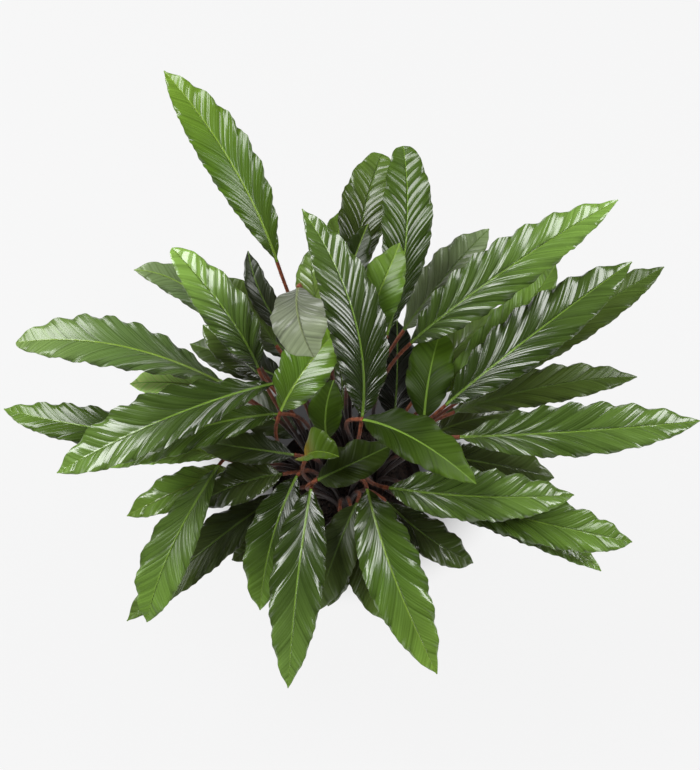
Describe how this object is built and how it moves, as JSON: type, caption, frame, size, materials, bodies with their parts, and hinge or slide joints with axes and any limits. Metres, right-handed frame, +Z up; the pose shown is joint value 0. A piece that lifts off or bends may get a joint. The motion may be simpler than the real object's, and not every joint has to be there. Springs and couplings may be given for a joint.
{
  "type": "potted furry feather calathea",
  "caption": "Bushy potted foliage plant with long wavy-edged leaves that arch outward on hairy red-brown stalks from a plain round nursery pot.",
  "frame": {"origin": "centre of the pot's underside, on the surface that it stands on", "axes": "+Z up, -Y towards the picture's viewer, +X to the viewer's right"},
  "size_m": [0.6715, 0.5249, 0.48],
  "materials": {
    "leaf": "glossy green leaf with silvery bands along the side veins",
    "stalk": "hairy red-brown leaf stalk",
    "peat": "moist, crumbly dark peat",
    "pot_plastic": "plain dark moulded plastic, satin"
  },
  "bodies": {
    "root": {"pot": "pot_plastic", "peat": "peat", "stalks": "stalk", "blade_01": "leaf", "blade_02": "leaf", "blade_03": "leaf", "blade_04": "leaf", "blade_05": "leaf", "blade_06": "leaf", "blade_07": "leaf", "blade_08": "leaf", "blade_09": "leaf", "blade_10": "leaf", "blade_11": "leaf", "blade_12": "leaf", "blade_13": "leaf", "blade_14": "leaf", "blade_15": "leaf", "blade_16": "leaf", "blade_17": "leaf", "blade_18": "leaf", "blade_19": "leaf", "blade_20": "leaf", "blade_21": "leaf", "blade_22": "leaf", "blade_23": "leaf", "blade_24": "leaf", "blade_25": "leaf", "blade_26": "leaf", "blade_27": "leaf", "blade_28": "leaf", "blade_29": "leaf", "blade_30": "leaf", "blade_31": "leaf", "blade_32": "leaf", "blade_33": "leaf", "blade_34": "leaf", "blade_35": "leaf", "blade_36": "leaf", "blade_37": "leaf", "blade_38": "leaf", "blade_39": "leaf", "blade_40": "leaf", "blade_41": "leaf", "blade_42": "leaf", "blade_43": "leaf", "blade_44": "leaf", "blade_45": "leaf", "blade_46": "leaf", "blade_47": "leaf", "blade_48": "leaf", "blade_49": "leaf", "blade_50": "leaf", "blade_51": "leaf", "blade_52": "leaf", "blade_53": "leaf", "blade_54": "leaf", "blade_55": "leaf", "blade_56": "leaf", "blade_57": "leaf"}
  },
  "joints": []
}
